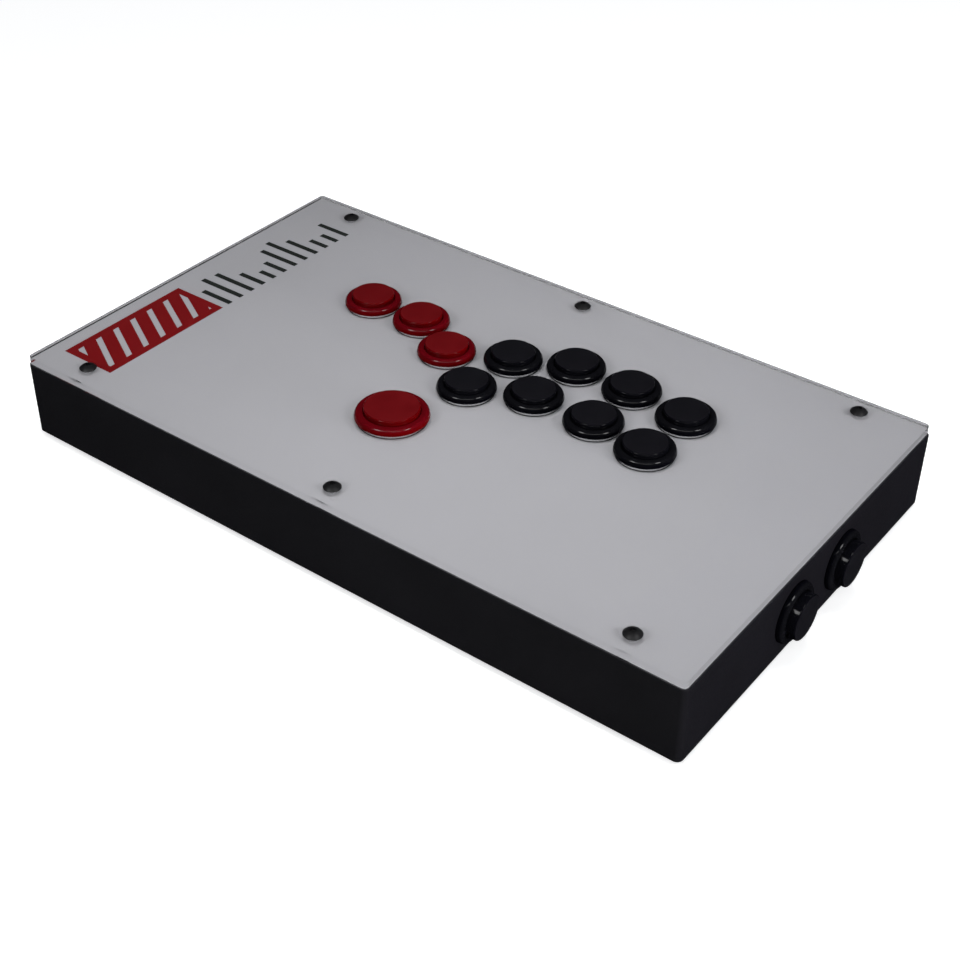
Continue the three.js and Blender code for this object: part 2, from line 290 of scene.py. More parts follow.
class Finish:
    """A material under construction: short names for its nodes."""

    def __init__(self, name):
        self.material = bpy.data.materials.new(name)
        self.material.use_nodes = True
        self.nodes = self.material.node_tree.nodes
        self.links = self.material.node_tree.links
        self.shader = self.nodes["Principled BSDF"]
        self.coordinates = self.nodes.new("ShaderNodeTexCoord")
        self.where = self.coordinates.outputs["Object"]

    def set(self, socket, value):
        """Links the socket to another, or gives it a constant."""
        if isinstance(value, bpy.types.NodeSocket):
            self.links.new(value, socket)
        elif isinstance(value, tuple) and len(value) == 3 and socket.type == "RGBA":
            socket.default_value = (*value, 1)
        else:
            socket.default_value = value

    def add(self, kind, **inputs):
        """A node with its inputs set by name, with _ for a space."""
        node = self.nodes.new(kind)
        for name, value in inputs.items():
            self.set(node.inputs[name.replace("_", " ")], value)
        return node

    def maths(self, operation, a, b=0.0):
        node = self.nodes.new("ShaderNodeMath")
        node.operation = operation
        self.set(node.inputs[0], a)
        self.set(node.inputs[1], b)
        return node.outputs[0]

    def facing_up(self):
        """How far the surface faces along the piece's own Z, from -1 to 1."""
        normal = self.coordinates.outputs["Normal"]
        return self.add("ShaderNodeSeparateXYZ", Vector=normal).outputs["Z"]

    def between(self, value, low, high):
        """1 where value lies between low and high."""
        return self.maths("MULTIPLY", self.maths("GREATER_THAN", value, low),
                          self.maths("LESS_THAN", value, high))

    def noise(self, size_mm, detail=2.0, roughness=0.5, where=None):
        node = self.add("ShaderNodeTexNoise", Scale=per_metre(size_mm), Detail=detail,
                        Roughness=roughness, Vector=where or self.where)
        return node.outputs["Fac"]

    def ramp(self, value, low, high, to_low=0.0, to_high=1.0):
        """value from low to high, stretched over to_low to to_high and held at their ends."""
        node = self.add("ShaderNodeMapRange", Value=value)
        for name, number in (("From Min", low), ("From Max", high), ("To Min", to_low),
                             ("To Max", to_high)):
            node.inputs[name].default_value = number
        return node.outputs["Result"]

    def mix(self, share, a, b):
        """Colour a, and b where share is 1."""
        node = self.nodes.new("ShaderNodeMix")
        node.data_type = "RGBA"
        for socket, value in ((node.inputs[0], share), (node.inputs[6], a), (node.inputs[7], b)):
            self.set(socket, value)
        return node.outputs[2]

    def bump(self, height, depth_mm, under=None):
        node = self.add("ShaderNodeBump", Height=height, Strength=1.0, Distance=depth_mm * MM)
        if under is not None:
            self.set(node.inputs["Normal"], under)
        return node.outputs["Normal"]

    def principled(self, **inputs):
        for name, value in inputs.items():
            self.set(self.shader.inputs[name.replace("_", " ")], value)
        return self.material


def powder_coat(name, colour, roughness=0.55):
    """Matt paint with the fine grain of baked powder and slightly paler worn patches."""
    f = Finish(name)
    grain = f.noise(0.45, detail=3, roughness=0.6)
    wave = f.noise(2.2, detail=1)
    cloud = f.noise(38, detail=2)
    tint = f.mix(f.ramp(cloud, 0.3, 0.7), shade(colour, 0.9), shade(colour, 1.12))
    tint = f.mix(f.ramp(grain, 0.35, 0.7, 0.0, 0.35), tint, shade(colour, 1.6))
    normal = f.bump(grain, 0.02, f.bump(wave, 0.018))
    return f.principled(Base_Color=tint, Specular_IOR_Level=0.2, Normal=normal,
                        Roughness=f.ramp(grain, 0.3, 0.7, roughness - 0.05, roughness + 0.07))


def gloss_plastic(name, colour, painted_shade_side_colour, roughness=0.09):
    """Polished moulding: faint ripples from the mould and a little haze, with less shine down the side
    and painted shade deepening its colour there.
    """
    f = Finish(name)
    ripple = f.noise(5.0, detail=1)
    haze = f.noise(1.3, detail=3)
    up = f.ramp(f.facing_up(), 0.25, 0.6)
    tint = f.mix(f.ramp(f.noise(9, detail=2), 0.3, 0.7), shade(colour, 0.93), shade(colour, 1.06))
    # Painted shade: faces that turn away from up take the deeper side colour.
    return f.principled(Base_Color=f.mix(up, painted_shade_side_colour, tint),
                        Roughness=f.ramp(haze, 0.35, 0.7, roughness, roughness + 0.07),
                        Specular_IOR_Level=f.ramp(up, 0, 1, 0.02, 0.28), Normal=f.bump(ripple, 0.006))


def satin_plastic(name, colour, roughness):
    """Fine spark-eroded moulding."""
    f = Finish(name)
    grain = f.noise(0.22, detail=3, roughness=0.65)
    rubbed = f.noise(6.5, detail=2)
    tint = f.mix(f.ramp(rubbed, 0.3, 0.7), shade(colour, 0.92), shade(colour, 1.08))
    rough = f.maths("ADD", f.ramp(rubbed, 0.3, 0.7, roughness - 0.06, roughness + 0.05),
                    f.ramp(grain, 0.3, 0.7, -0.03, 0.03))
    return f.principled(Base_Color=tint, Roughness=rough, Specular_IOR_Level=0.3,
                        Normal=f.bump(grain, 0.006))


def button_cap(name, colour, painted_shade_side_colour):
    """Fine satin on the crown, rubbed smoother where fingers rest, and polished round the side, where
    painted shade darkens the colour.
    """
    f = Finish(name)
    grain = f.noise(0.22, detail=3, roughness=0.65)
    rubbed = f.noise(6.5, detail=2)
    crown = f.ramp(f.facing_up(), 0.93, 0.995)
    tint = f.mix(f.ramp(rubbed, 0.3, 0.7), shade(colour, 0.92), shade(colour, 1.08))
    satin = f.maths("ADD", f.ramp(rubbed, 0.3, 0.7, 0.4, 0.5), f.ramp(grain, 0.3, 0.7, -0.03, 0.03))
    rough = f.maths("ADD", f.maths("MULTIPLY", crown, satin), f.ramp(crown, 0, 1, 0.1, 0.0))
    grained = f.maths("MULTIPLY", crown, grain)
    # Painted shade: below the crown the cap takes the darker side colour.
    return f.principled(Base_Color=f.mix(crown, painted_shade_side_colour, tint), Roughness=rough,
                        Specular_IOR_Level=f.ramp(crown, 0, 1, 0.14, 0.22),
                        Normal=f.bump(grained, 0.006))


def black_oxide(name):
    """Blackened steel with a fine grain."""
    f = Finish(name)
    grain = f.noise(0.5, detail=4, roughness=0.7)
    tint = f.mix(f.ramp(grain, 0.3, 0.75), (0.0045, 0.0045, 0.005), (0.010, 0.010, 0.011))
    return f.principled(Base_Color=tint, Roughness=f.ramp(grain, 0.3, 0.7, 0.36, 0.5),
                        Specular_IOR_Level=0.3, Normal=f.bump(grain, 0.012))


def moulded_rubber(name):
    """Matt rubber with a little dust on it."""
    f = Finish(name)
    grain = f.noise(0.35, detail=3, roughness=0.7)
    dust = f.noise(4.5, detail=4, roughness=0.6)
    tint = f.mix(f.ramp(dust, 0.5, 0.8, 0, 0.6), (0.012, 0.012, 0.012), (0.035, 0.034, 0.032))
    return f.principled(Base_Color=tint, Roughness=f.ramp(dust, 0.3, 0.7, 0.75, 0.92),
                        Specular_IOR_Level=0.3, Normal=f.bump(grain, 0.03))


def plated_metal(name, colour, roughness=0.28):
    """Brushed metal with a patchy tarnish."""
    f = Finish(name)
    stretch = f.add("ShaderNodeMapping", Vector=f.where)
    stretch.inputs["Scale"].default_value = (1, 12, 1)
    brushed = f.noise(0.8, detail=3, where=stretch.outputs[0])
    tarnish = f.noise(3.0, detail=3)
    tint = f.mix(f.ramp(tarnish, 0.45, 0.8, 0, 0.7), colour, shade(colour, 0.72))
    return f.principled(Base_Color=tint, Metallic=1.0, Normal=f.bump(brushed, 0.004),
                        Roughness=f.ramp(brushed, 0.3, 0.7, roughness - 0.06, roughness + 0.1))


def solder_mask(name):
    """Green lacquer over copper tracks, with paler pads."""
    f = Finish(name)
    tracks = f.nodes.new("ShaderNodeTexBrick")
    f.set(tracks.inputs["Vector"], f.where)
    for socket, value in (("Scale", per_metre(6.0)), ("Mortar Size", 0.06), ("Brick Width", 0.9),
                          ("Row Height", 0.22)):
        tracks.inputs[socket].default_value = value
    cells = f.add("ShaderNodeTexVoronoi", Vector=f.where, Scale=per_metre(4.2))
    pads = f.ramp(cells.outputs["Distance"], 0.16, 0.19, 1, 0)
    tint = f.mix(tracks.outputs["Fac"], (0.008, 0.085, 0.035), (0.02, 0.16, 0.07))
    tint = f.mix(pads, tint, (0.62, 0.6, 0.56))
    return f.principled(Base_Color=tint, Roughness=f.ramp(f.noise(2.0), 0.3, 0.7, 0.28, 0.42),
                        Normal=f.bump(tracks.outputs["Fac"], 0.03))


def cable_jacket(name, colour):
    """Coloured insulation of a lead."""
    f = Finish(name)
    grain = f.noise(0.6, detail=2)
    tint = f.mix(f.ramp(f.noise(4.0), 0.3, 0.7), shade(colour, 0.85), colour)
    return f.principled(Base_Color=tint, Roughness=f.ramp(grain, 0.3, 0.7, 0.42, 0.56),
                        Normal=f.bump(grain, 0.01))


def braided_sleeve(name):
    """Crossed strands of a woven sleeve."""
    f = Finish(name)
    over = f.nodes.new("ShaderNodeTexWave")
    under = f.nodes.new("ShaderNodeTexWave")
    for wave, lean in ((over, 0.8), (under, -0.8)):
        turn = f.add("ShaderNodeMapping", Vector=f.where)
        turn.inputs["Rotation"].default_value = (lean, lean, lean)
        f.set(wave.inputs["Vector"], turn.outputs[0])
        wave.inputs["Scale"].default_value = per_metre(3.2)
    weave = f.maths("MAXIMUM", over.outputs["Fac"], under.outputs["Fac"])
    tint = f.mix(weave, (0.008, 0.008, 0.009), (0.03, 0.03, 0.033))
    return f.principled(Base_Color=tint, Roughness=0.55, Normal=f.bump(weave, 0.12))


# The printed band, in millimetres from the case's middle: a row of bars, and a striped panel before it.
PRINT_LEFT, PRINT_RIGHT = -172.0, -141.0
BARS_FRONT, BARS_REAR, BAR_PITCH, BAR_WIDTH = -10.0, 86.0, 8.0, 3.0
BAR_LENGTH, BAR_SWING, BAR_RHYTHM = 19.0, 9.0, 1.15
PANEL_FRONT, PANEL_REAR, PANEL_MARGIN = -88.5, -14.0, 4.0
STRIPE_SLANT, STRIPE_PITCH, STRIPE_SHARE = 0.55, 11.0, 0.3
ART_WHITE = (0.34, 0.335, 0.353)
ART_BLACK = (0.010, 0.012, 0.011)
ART_RED = (0.145, 0.003, 0.0042)


def printed_sheet(name):
    """Satin white sheet, printed with a row of black bars and a red panel of slanted stripes."""
    f = Finish(name)
    xyz = f.add("ShaderNodeSeparateXYZ", Vector=f.where)
    x = f.maths("SUBTRACT", f.maths("MULTIPLY", xyz.outputs["X"], 1 / MM), case_middle.x)
    y = f.maths("MULTIPLY", xyz.outputs["Y"], 1 / MM)

    step = f.maths("DIVIDE", f.maths("SUBTRACT", y, BARS_FRONT), BAR_PITCH)
    stroke = f.maths("LESS_THAN", f.maths("FRACT", step), BAR_WIDTH / BAR_PITCH)
    swing = f.maths("SINE", f.maths("MULTIPLY", f.maths("FLOOR", step), BAR_RHYTHM))
    length = f.maths("ADD", f.maths("MULTIPLY", swing, BAR_SWING), BAR_LENGTH)
    reach = f.between(f.maths("SUBTRACT", PRINT_RIGHT, x), 0, length)
    bars = f.maths("MULTIPLY", f.maths("MULTIPLY", stroke, reach), f.between(y, BARS_FRONT, BARS_REAR))

    panel = f.maths("MULTIPLY", f.between(x, PRINT_LEFT, PRINT_RIGHT),
                    f.between(y, PANEL_FRONT, PANEL_REAR))
    along = f.maths("ADD", y, f.maths("MULTIPLY", x, STRIPE_SLANT))
    slant = f.maths("FRACT", f.maths("DIVIDE", along, STRIPE_PITCH))
    field = f.maths("MULTIPLY",
                    f.between(x, PRINT_LEFT + PANEL_MARGIN, PRINT_RIGHT - PANEL_MARGIN),
                    f.between(y, PANEL_FRONT + PANEL_MARGIN, PANEL_REAR - PANEL_MARGIN))
    stripes = f.maths("MULTIPLY", f.maths("LESS_THAN", slant, STRIPE_SHARE), field)
    red = f.maths("MULTIPLY", panel, f.maths("SUBTRACT", 1, stripes))

    fibre = f.noise(0.9, detail=4, roughness=0.7)
    cloud = f.noise(60, detail=2)
    white = f.mix(f.ramp(cloud, 0.3, 0.7), ART_WHITE, shade(ART_WHITE, 0.97))
    white = f.mix(f.ramp(fibre, 0.4, 0.75, 0, 0.25), white, shade(ART_WHITE, 0.93))
    tint = f.mix(bars, white, ART_BLACK)
    tint = f.mix(red, tint, ART_RED)
    ink = f.maths("MAXIMUM", bars, red)
    return f.principled(Base_Color=tint, Roughness=f.ramp(ink, 0, 1, 0.6, 0.42),
                        Specular_IOR_Level=0.12, Normal=f.bump(fibre, 0.008))


def clear_sheet(name):
    """Polished acrylic, with painted shade that darkens the glass colour on its edge faces. Lamps and
    soft light go straight through.
    """
    refraction = 1.49
    f = Finish(name)
    f.nodes.remove(f.shader)
    flat = f.maths("ABSOLUTE", f.facing_up())
    # Painted shade: faces standing on edge take a darker glass colour than the top and bottom.
    tint = f.mix(f.ramp(flat, 0.3, 0.7), (0.92, 0.925, 0.925), (0.985, 0.99, 0.99))
    glass = f.add("ShaderNodeBsdfGlass", Color=tint, Roughness=0.0, IOR=refraction)
    path = f.nodes.new("ShaderNodeLightPath")
    straight = f.maths("MAXIMUM", path.outputs["Is Shadow Ray"], path.outputs["Is Diffuse Ray"])
    mix = f.nodes.new("ShaderNodeMixShader")
    f.set(mix.inputs[0], straight)
    f.set(mix.inputs[1], glass.outputs[0])
    f.set(mix.inputs[2], f.add("ShaderNodeBsdfTransparent", Color=(0.97, 0.975, 0.975)).outputs[0])
    f.set(f.nodes["Material Output"].inputs["Surface"], mix.outputs[0])
    return f.material


coat = powder_coat("powder_coat", (0.0056, 0.0053, 0.0072))
acrylic = clear_sheet("clear_acrylic")
sheet = printed_sheet("printed_sheet")
# Each bezel and cap has its own colour, then a deeper colour for its side that is painted shade.
bezel = {"red": gloss_plastic("gloss_red", (0.080, 0.0012, 0.0034), (0.085, 0.0003, 0.0009)),
         "black": gloss_plastic("gloss_black", (0.0035, 0.0035, 0.0045), (0.0012, 0.0012, 0.0022))}
cap = {"red": button_cap("cap_red", (0.096, 0.0016, 0.003), (0.075, 0.0004, 0.0009)),
       "black": button_cap("cap_black", (0.0056, 0.0054, 0.0072), (0.0020, 0.0020, 0.0030))}
housing = satin_plastic("switch_housing", (0.02, 0.02, 0.022), 0.5)
oxide = black_oxide("black_oxide")
rubber = moulded_rubber("moulded_rubber")
brass = plated_metal("brass", (0.72, 0.52, 0.25))
steel = plated_metal("plated_steel", (0.58, 0.59, 0.61), 0.25)
lacquer = solder_mask("solder_mask")
sleeve = braided_sleeve("braided_sleeve")
lead = {"red": cable_jacket("lead_red", (0.32, 0.012, 0.014)),
        "black": cable_jacket("lead_black", (0.014, 0.014, 0.016))}


# ------------------------------------------------------------------ case, cover and base
def case_outline(inset):
    return rectangle(case_middle.x, case_middle.y, case_width - 2 * inset, case_depth - 2 * inset,
                     max(CASE_CORNER - inset / 2, 0.3))


def top_openings(clearance=0):
    """(x, y, radius, steps) of the holes for the top buttons and the cover screws."""
    spots = [(*middle_xy(f"{name}_body"), button_size(name)["hole"] + clearance, LATHE_STEPS)
             for name in TOP_BUTTONS]
    return spots + [(x, y, SCREW_HOLE, SCREW_HOLE_STEPS) for x, y in cover_screw_spots]


def sheet_outlines(low, high, corner, clearance):
    """The outline of the cover or the art sheet, and of its openings for buttons and screws."""
    middle, size = (low + high) / 2, high - low
    return [lambda inset: rectangle(middle.x, middle.y, size.x - 2 * inset, size.y - 2 * inset,
                                    corner - inset, 12),
            *[lambda inset, spot=spot: circle(spot[0], spot[1], spot[2] + inset, spot[3])[::-1]
              for spot in top_openings(clearance)]]


def cavity_outline(inset):
    return rectangle(case_middle.x, case_middle.y, case_width - 2 * CASE_WALL - 2 * inset,
                     case_depth - 2 * CASE_WALL - 2 * inset, 0.6)


def case_additions():
    """What is welded inside: nuts for the cover screws, pillars for the board and tabs for the base."""
    sink = 0.7                      # how far the nuts and pillars reach into the case's top
    nuts = [slab([lambda inset, x=x, y=y: circle(x, y, NUT_RADIUS - inset, 48)],
                 [(ceiling - NUT_HEIGHT, 0.3), (ceiling - NUT_HEIGHT + 0.3, 0), (ceiling + sink, 0)])
            for x, y in cover_screw_spots]
    low, high = box_mm("controller_board")
    pillars = [slab([lambda inset, x=x, y=y: circle(x, y, PILLAR_RADIUS - inset, 32)],
                    [(high.z, 0), (ceiling + sink, 0)])
               for x in (low.x + PILLAR_INSET, high.x - PILLAR_INSET)
               for y in (low.y + PILLAR_INSET, high.y - PILLAR_INSET)]
    tabs = [block(x, math.copysign(case_depth / 2 - TAB_INSET, y), base_high.z + TAB_THICKNESS / 2,
                  TAB_WIDTH, TAB_REACH, TAB_THICKNESS, 0.3) for x, y in base_screw_spots]
    return nuts + pillars + tabs


def case_holes():
    """Cutters for the openings in the top, the tabs, the right-hand end and the rear wall."""
    holes = [slab([lambda inset, spot=spot: circle(*spot)], [(ceiling - 4, 0), (case_high.z + 1, 0)])
             for spot in top_openings()]
    holes += [slab([lambda inset, x=x, y=y: circle(x, y, BASE_SCREW_HOLE, 24)],
                   [(base_high.z - 1, 0), (base_high.z + 3, 0)]) for x, y in base_screw_spots]
    for name in SIDE_BUTTONS:
        place = button_place(name)
        place.translation /= MM
        holes.append(moved(slab([lambda inset: circle(0, 0, SMALL["hole"])], [(-3, 0), (1, 0)]), place))
    low, high = box_mm("usb_socket")
    turn = Matrix.Translation((0, case_high.y, 0)) @ Matrix.Rotation(math.pi / 2, 4, "X")
    holes.append(moved(slab([lambda inset: rectangle((low.x + high.x) / 2, (low.z + high.z) / 2,
                                                     high.x - low.x + 2 * GAP,
                                                     high.z - low.z + 2 * GAP, 1.7)],
                            [(-2, 0), (4, 0)]), turn))
    return holes


def build_case():
    steps = 6
    bend = [(case_high.z - CASE_BEND + CASE_BEND * math.sin(k * math.pi / 2 / steps),
             CASE_BEND - CASE_BEND * math.cos(k * math.pi / 2 / steps)) for k in range(steps + 1)]
    case = object_of("steel_case", [slab([case_outline], [(case_low.z, 0), *bend])])
    boolean(case, "DIFFERENCE", [slab([cavity_outline],
                                      [(case_low.z - 5, 0), (ceiling - 0.4, 0), (ceiling, 0.4)])])
    boolean(case, "UNION", case_additions())
    boolean(case, "DIFFERENCE", case_holes())
    finish_shape(case, 35, weighted=True)
    attach(case, coat, ["case_shell"])


build_case()

cover = object_of("acrylic_cover", [slab(
    sheet_outlines(cover_low, cover_high, COVER_CORNER, COVER_CLEARANCE),
    [(art_high.z - 0.05, 0), (cover_high.z, 0)])])
finish_shape(cover, 20)
attach(cover, acrylic, ["clear_cover"])

art = object_of("printed_art", [slab(sheet_outlines(art_low, art_high, ART_CORNER, ART_CLEARANCE),
                                     [(art_low.z, 0), (art_high.z, 0)])])
finish_shape(art, 20)
attach(art, sheet, ["art_sheet"])

plate = object_of("floor_plate", [slab(
    [lambda inset: rectangle(case_middle.x, case_middle.y, base_high.x - base_low.x - 2 * inset,
                             base_high.y - base_low.y - 2 * inset, 1),
     *[lambda inset, x=x, y=y: circle(x, y, BASE_SCREW_HOLE + inset, 24)[::-1]
       for x, y in base_screw_spots]],
    [(base_low.z, 0.2), (base_low.z + 0.2, 0), (base_high.z - 0.2, 0), (base_high.z, 0.2)])])
finish_shape(plate, 35)
attach(plate, coat, ["base_plate"])


# ------------------------------------------------------------------ screws and feet
def dome(radius, height, start, steps=12):
    """Profile points of a low dome from (radius, start) up to the axis."""
    ball = (radius ** 2 + height ** 2) / (2 * height)
    span = math.asin(radius / ball)
    return [(ball * math.sin(span * (1 - k / steps)),
             start + height - ball + ball * math.cos(span * (1 - k / steps))) for k in range(steps + 1)]


def build_cover_screw(number, spot):
    """M4 button head with a hexagon socket."""
    head, tall, shank_radius, length = 4.0, 2.2, 2.0, 10
    shank = [(0, -length), (shank_radius - 0.4, -length), (shank_radius, -length + 0.6),
             (shank_radius, 0)]
    rim = [(head - 0.15, 0), (head, 0.12), (head, 0.35)]
    top = [(r, z) for r, z in dome(head, tall - 0.35, 0.35)[1:]]
    screw = object_of(f"cover_bolt_{number}", [lathe(shank + rim + top, 48)])
    mouth = 1.45
    hexagon = [slab([lambda inset: circle(0, 0, mouth + inset, 6)],
                    [(tall - 1.25, 0), (tall - 0.12, 0), (tall + 0.4, 0.3)])]
    boolean(screw, "DIFFERENCE", hexagon)
    finish_shape(screw, 32)
    x, y = spot
    attach(screw, oxide, [f"cover_screw_{number}"],
           place=Matrix.Translation(Vector((x, y, cover_high.z)) * MM))


for number, spot in enumerate(cover_screw_spots, 1):
    build_cover_screw(number, spot)


def build_base_screw(number, spot):
    """M3 pan head with a cross recess, seen from below only."""
    head, tall, slot = 2.8, 1.5, 0.55
    profile = [(0, -6), (1.1, -6), (1.45, -5.4), (1.45, 0), (head - 0.15, 0), (head, 0.12), (head, 0.4),
               *dome(head, tall - 0.4, 0.4, 8)[1:]]
    screw = object_of(f"base_bolt_{number}", [lathe(profile, 40)])
    for width, depth in ((head, slot), (slot, head)):
        bar = slab([lambda inset: rectangle(0, 0, width + inset, depth + inset, 0.1, 2)],
                   [(tall - 1.0, -0.2), (tall + 0.2, 0.25)])
        boolean(screw, "DIFFERENCE", [bar])
    finish_shape(screw, 32)
    turn = Matrix.Rotation(math.pi, 4, "X") @ Matrix.Rotation(number * 0.7, 4, "Z")
    x, y = spot
    attach(screw, oxide,
           place=Matrix.Translation(Vector((x, y, base_low.z)) * MM) @ turn)


for number, spot in enumerate(base_screw_spots, 1):
    build_base_screw(number, spot)

for number, (x, y) in enumerate(foot_spots, 1):
    # From the dimple under the foot, round its tapered side, to its flat top.
    profile = rounded([(0, 0.5, 0), (3.4, 0.5, 0.2), (3.8, 0, 0.3), (7.0, 0, 0.6), (7.9, 2.6, 0.4),
                       (8.0, 3.0, 0), (0, 3.0, 0)], 4)
    foot = object_of(f"rubber_foot_{number}", [lathe(profile, 64)])
    finish_shape(foot, 35)
    attach(foot, rubber, [f"foot_{number}"],
           place=Matrix.Translation(Vector((x, y, 0)) * MM))


# ------------------------------------------------------------------ push buttons
def body_profile(size):
    """The bezel, the barrel under it and the web that guides the plunger's stem."""
    flange, barrel, bore = size["flange"], size["barrel"], size["bore"]
    inside, steps = barrel - BARREL_WALL, 16
    shoulder = [(flange - BEZEL_SHOULDER + BEZEL_SHOULDER * math.cos(k * math.pi / 2 / steps),
                 BEZEL_EDGE + (BEZEL_TOP - BEZEL_EDGE) * math.sin(k * math.pi / 2 / steps), 0)
                for k in range(steps + 1)]
    return rounded([
        (barrel, BARREL_BOTTOM, 0.3), (barrel, 0, 0), (flange - 0.15, 0, 0), (flange - 0.03, 0.1, 0),
        *shoulder, (bore, BEZEL_TOP - 0.15, 0.3), (bore, WEB_TOP, 0.3), (WEB_HOLE, WEB_TOP, 0.2),
        (WEB_HOLE, WEB_BOTTOM, 0.2), (inside, WEB_BOTTOM, 0.3), (inside, BARREL_BOTTOM, 0.3)], 5)


def plunger_profile(size, rise):
    """A cap on a stem that ends in a catch and a tip, hollow from below."""
    radius, low_crown = size["plunger"], rise - PLUNGER_SAG
    inside, under = radius - PLUNGER_WALL, rise - PLUNGER_WALL
    return rounded([
        (0, TIP_BOTTOM, 0), (TIP_RADIUS, TIP_BOTTOM, 0.3), (TIP_RADIUS, TIP_TOP, 0.15),
        (CATCH_RADIUS, CATCH_BOTTOM, 0.15), (CATCH_RADIUS, CATCH_TOP, 0.15),
        (STEM_RADIUS, CATCH_TOP, 0), (STEM_RADIUS, under, 0.4), (inside, under, 0.4),
        (inside, SKIRT_BOTTOM, 0.2), (radius, SKIRT_BOTTOM, 0.2), (radius, low_crown, 0.55),
        *[(r, z, 0) for r, z in dome(radius - 0.9, PLUNGER_SAG, low_crown, 10)]], 6)


def build_button(name):
    size, colour = button_size(name), button_colour(name)
    rise = SIDE_RISE if name in SIDE_BUTTONS else TOP_RISE
    place = button_place(name)
    body = object_of(f"{name}_bezel", [lathe(body_profile(size))])
    finish_shape(body, 40)
    attach(body, bezel[colour], [f"{name}_body"], place=place)
    plunger = object_of(f"{name}_cap", [lathe(plunger_profile(size, rise))])
    finish_shape(plunger, 40)
    attach(plunger, cap[colour], [f"{name}_plunger"],
           body=f"{name}_plunger_body", place=place)
    blades = object_of(f"{name}_terminals", [block(x, 0, BARREL_BOTTOM - 4.2, 0.5, 2.8, 5.6, 0.12)
                                             for x in (-TERMINAL_X, TERMINAL_X)])
    finish_shape(blades)
    attach(blades, brass, place=place)
    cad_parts[f"{name}_switch"].data.materials[0] = housing


for name in TOP_BUTTONS + SIDE_BUTTONS:
    build_button(name)


# ------------------------------------------------------------------ electronics
def build_socket():
    low, high = box_mm("usb_socket")
    middle, depth = (low + high) / 2, high.y - low.y
    wide, tall = high.x - low.x, high.z - low.z
    wall, corner, mouth_depth = 0.4, 1.45, 6.5
    turn = Matrix.Translation((middle.x, high.y, middle.z)) @ Matrix.Rotation(math.pi / 2, 4, "X")

    def across(width, height, radius, levels, steps=8):
        """A slab across the socket. Its levels go inward from the open end."""
        return moved(slab([lambda inset: rectangle(0, 0, width - 2 * inset, height - 2 * inset,
                                                   radius - inset, steps)], levels), turn)

    shell = object_of("socket_shell", [across(wide, tall, corner, [(0, 0.12), (0.12, 0), (depth, 0)])])
    boolean(shell, "DIFFERENCE", [across(wide - 2 * wall, tall - 2 * wall, corner - wall,
                                         [(-0.5, -0.2), (0.2, 0), (mouth_depth, 0)])])
    finish_shape(shell, 35, weighted=True)
    attach(shell, steel, ["usb_socket"])
    tongue = object_of("socket_tongue", [across(wide - 2.4, 0.7, 0.3,
                                                [(1.0, 0.1), (1.15, 0), (mouth_depth + 0.1, 0)], 4)])
    finish_shape(tongue)
    attach(tongue, housing)
    count, pitch = 12, 0.5
    contacts = object_of("socket_contacts", [
        moved(block(pitch * (k - (count - 1) / 2), side * 0.35, 3.6, 0.25, 0.06, 4.4, 0.01), turn)
        for k in range(count) for side in (-1, 1)])
    finish_shape(contacts)
    attach(contacts, brass)


build_socket()
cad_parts["controller_board"].data.materials[0] = lacquer

# The loom's route, from the board to the side buttons. x is from the case's middle.
LOOM = [(-105, 67, 9.5), (-96, 48, 8.5), (-78, 34, 8.5), (-45, 24, 8.5), (-10, 18, 8.5),
        (30, 29, 8.5), (70, 29, 8.5), (110, 20, 8.5), (136, 6, 11), (148, 1, 18)]


def smooth_path(points, per_span):
    """A Catmull-Rom curve through the points."""
    points = [Vector(p) for p in points]
    ends = [2 * points[0] - points[1], *points, 2 * points[-1] - points[-2]]
    path = []
    for a, b, c, d in zip(ends, ends[1:], ends[2:], ends[3:]):
        for k in range(per_span):
            t = k / per_span
            path.append(0.5 * (2 * b + (c - a) * t + (2 * a - 5 * b + 4 * c - d) * t * t
                               + (3 * b - a - 3 * c + d) * t ** 3))
    return [*path, points[-1]]


def tube(path, radius, steps):
    """A closed tube along a path, without twist."""
    vertices, faces = [], []
    side = Vector((0, 0, 1)).cross(path[1] - path[0]).normalized()
    for i, point in enumerate(path):
        along = (path[min(i + 1, len(path) - 1)] - path[max(i - 1, 0)]).normalized()
        side = (side - along * side.dot(along)).normalized()
        other = along.cross(side)
        vertices += [point + radius * (side * math.cos(k * math.tau / steps)
                                       + other * math.sin(k * math.tau / steps)) for k in range(steps)]
    for i in range(len(path) - 1):
        for k in range(steps):
            a, b = i * steps + k, i * steps + (k + 1) % steps
            faces.append((a, b, b + steps, a + steps))
    faces += [tuple(range(steps))[::-1], tuple(range(len(vertices) - steps, len(vertices)))]
    return vertices, faces


loom_path = smooth_path([(case_middle.x + x, y, z) for x, y, z in LOOM], 10)
loom = object_of("loom_sleeve", [tube(loom_path, LOOM_RADIUS, 20)])
finish_shape(loom, 50)
attach(loom, sleeve, ["wire_loom"])


def lead_path(name, side):
    """From a switch's terminal to the loom, with a little slack."""
    place = button_place(name)
    place.translation /= MM
    start = place @ Vector((side * TERMINAL_X, 0, BARREL_BOTTOM - 6.6))
    out = place @ Vector((side * 3.0, 0, BARREL_BOTTOM - 10))
    if name in SIDE_BUTTONS:
        goal = Vector((case_middle.x + 147 + side * 0.7, 1.0, 17.4))
        return smooth_path([start, out, (out + goal) / 2 + Vector((-2, 0, -3)), goal], 8)
    near = min(loom_path, key=lambda p: (p.xy - start.xy).length)
    goal = near + Vector((side * 0.8, 0, 0.6))
    low = Vector((start.x + (goal.x - start.x) * 0.35, start.y + (goal.y - start.y) * 0.35, 11.5))
    return smooth_path([start, out, low, goal], 8)


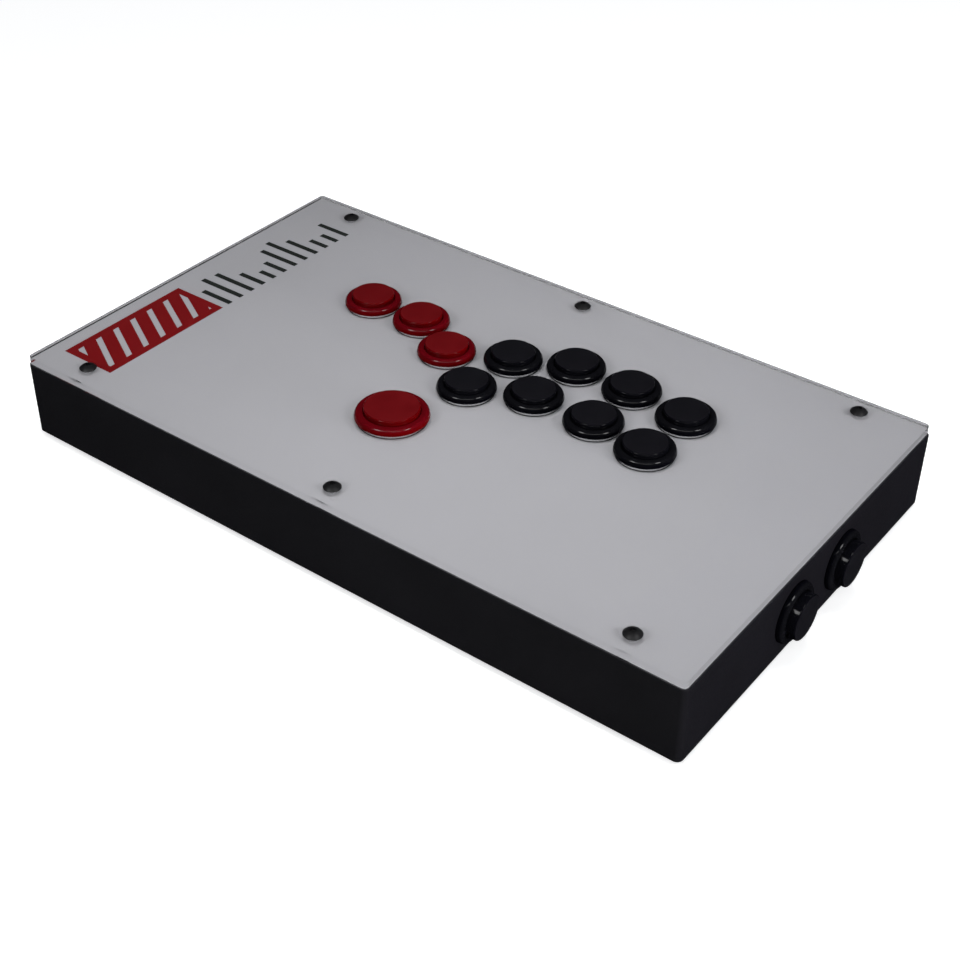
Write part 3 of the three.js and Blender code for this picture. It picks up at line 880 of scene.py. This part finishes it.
for colour, side in (("red", -1), ("black", 1)):
    leads = object_of(f"leads_{colour}", [tube(lead_path(name, side), LEAD_RADIUS, 10)
                                          for name in TOP_BUTTONS + SIDE_BUTTONS])
    finish_shape(leads, 50)
    attach(leads, lead[colour])


# ------------------------------------------------------------------ stage, light and camera
FLOOR_GLOW, SOFT_LIGHT, FAR_FLOOR = 0.47, 0.36, 0.79


def build_floor():
    """A wide pale disc. It glows a little, so that it stays pale away from the lamps."""
    radius, steps = 30000, 64
    floor = object_of("studio_floor", [([(x, y, 0) for x, y in circle(0, 0, radius, steps)],
                                        [tuple(range(steps))])])
    f = Finish("studio_floor")
    pattern = f.noise(900, detail=2)
    f.principled(Base_Color=f.mix(pattern, (0.86, 0.865, 0.875), (0.88, 0.885, 0.89)), Roughness=0.9,
                 Specular_IOR_Level=0.0, Emission_Color=(1.0, 1.0, 1.0),
                 Emission_Strength=FLOOR_GLOW)
    floor.data.materials.append(f.material)
    floor.visible_glossy = False


def area_light(name, azimuth, elevation, distance, size, power, glossy=True, spread=180,
               aim=(0, 0, 0)):
    """A rectangular lamp turned to the point aim. Angles are in degrees, lengths in metres."""
    lamp = bpy.data.lights.new(name, "AREA")
    lamp.shape, lamp.size, lamp.size_y = "RECTANGLE", *size
    lamp.energy, lamp.spread = power, math.radians(spread)
    thing = bpy.data.objects.new(name, lamp)
    a, e = math.radians(azimuth), math.radians(elevation)
    away = Vector((math.cos(a) * math.cos(e), math.sin(a) * math.cos(e), math.sin(e)))
    thing.location = Vector(aim) + away * distance
    thing.rotation_euler = away.to_track_quat("Z", "Y").to_euler()
    thing.visible_glossy = glossy
    thing.visible_camera = False
    bpy.context.scene.collection.objects.link(thing)


build_floor()
area_light("softbox_left", -103, 46, 1.5, (0.36, 0.36), 5.0)
area_light("softbox_right", 0, 46, 1.5, (0.36, 0.36), 4.6)
area_light("strip_front", -60, 48, 1.6, (1.5, 0.11), 3.2)
area_light("overhead", -63, 89, 0.95, (0.35, 0.3), 0.375, glossy=False, spread=44,
           aim=(0.02, -0.04, 0))
area_light("side_fill", 3, 6, 1.5, (0.8, 0.2), 21.0, glossy=False)


def build_world():
    """Soft light from all round, seen by the camera as pale as the far floor."""
    world = bpy.data.worlds.new("studio")
    bpy.context.scene.world = world
    world.use_nodes = True
    tree = world.node_tree
    sky, path = tree.nodes["Background"], tree.nodes.new("ShaderNodeLightPath")
    strength = tree.nodes.new("ShaderNodeMapRange")
    strength.inputs["To Min"].default_value = SOFT_LIGHT
    strength.inputs["To Max"].default_value = FAR_FLOOR
    tree.links.new(path.outputs["Is Camera Ray"], strength.inputs["Value"])
    tree.links.new(strength.outputs["Result"], sky.inputs["Strength"])
    sky.inputs["Color"].default_value = (0.97, 0.98, 1.0, 1)
    world.cycles_visibility.glossy = False


build_world()

camera = bpy.data.objects.new("camera", bpy.data.cameras.new("camera"))
camera.data.lens, camera.data.sensor_width = 61.813, 36
camera.location = (0.37668, -0.49935, 0.46280)
camera.rotation_euler = [math.radians(a) for a in (53.1940, -0.4800, 37.0797)]
bpy.context.scene.collection.objects.link(camera)
bpy.context.scene.camera = camera
bpy.context.scene.view_settings.view_transform = "Standard"
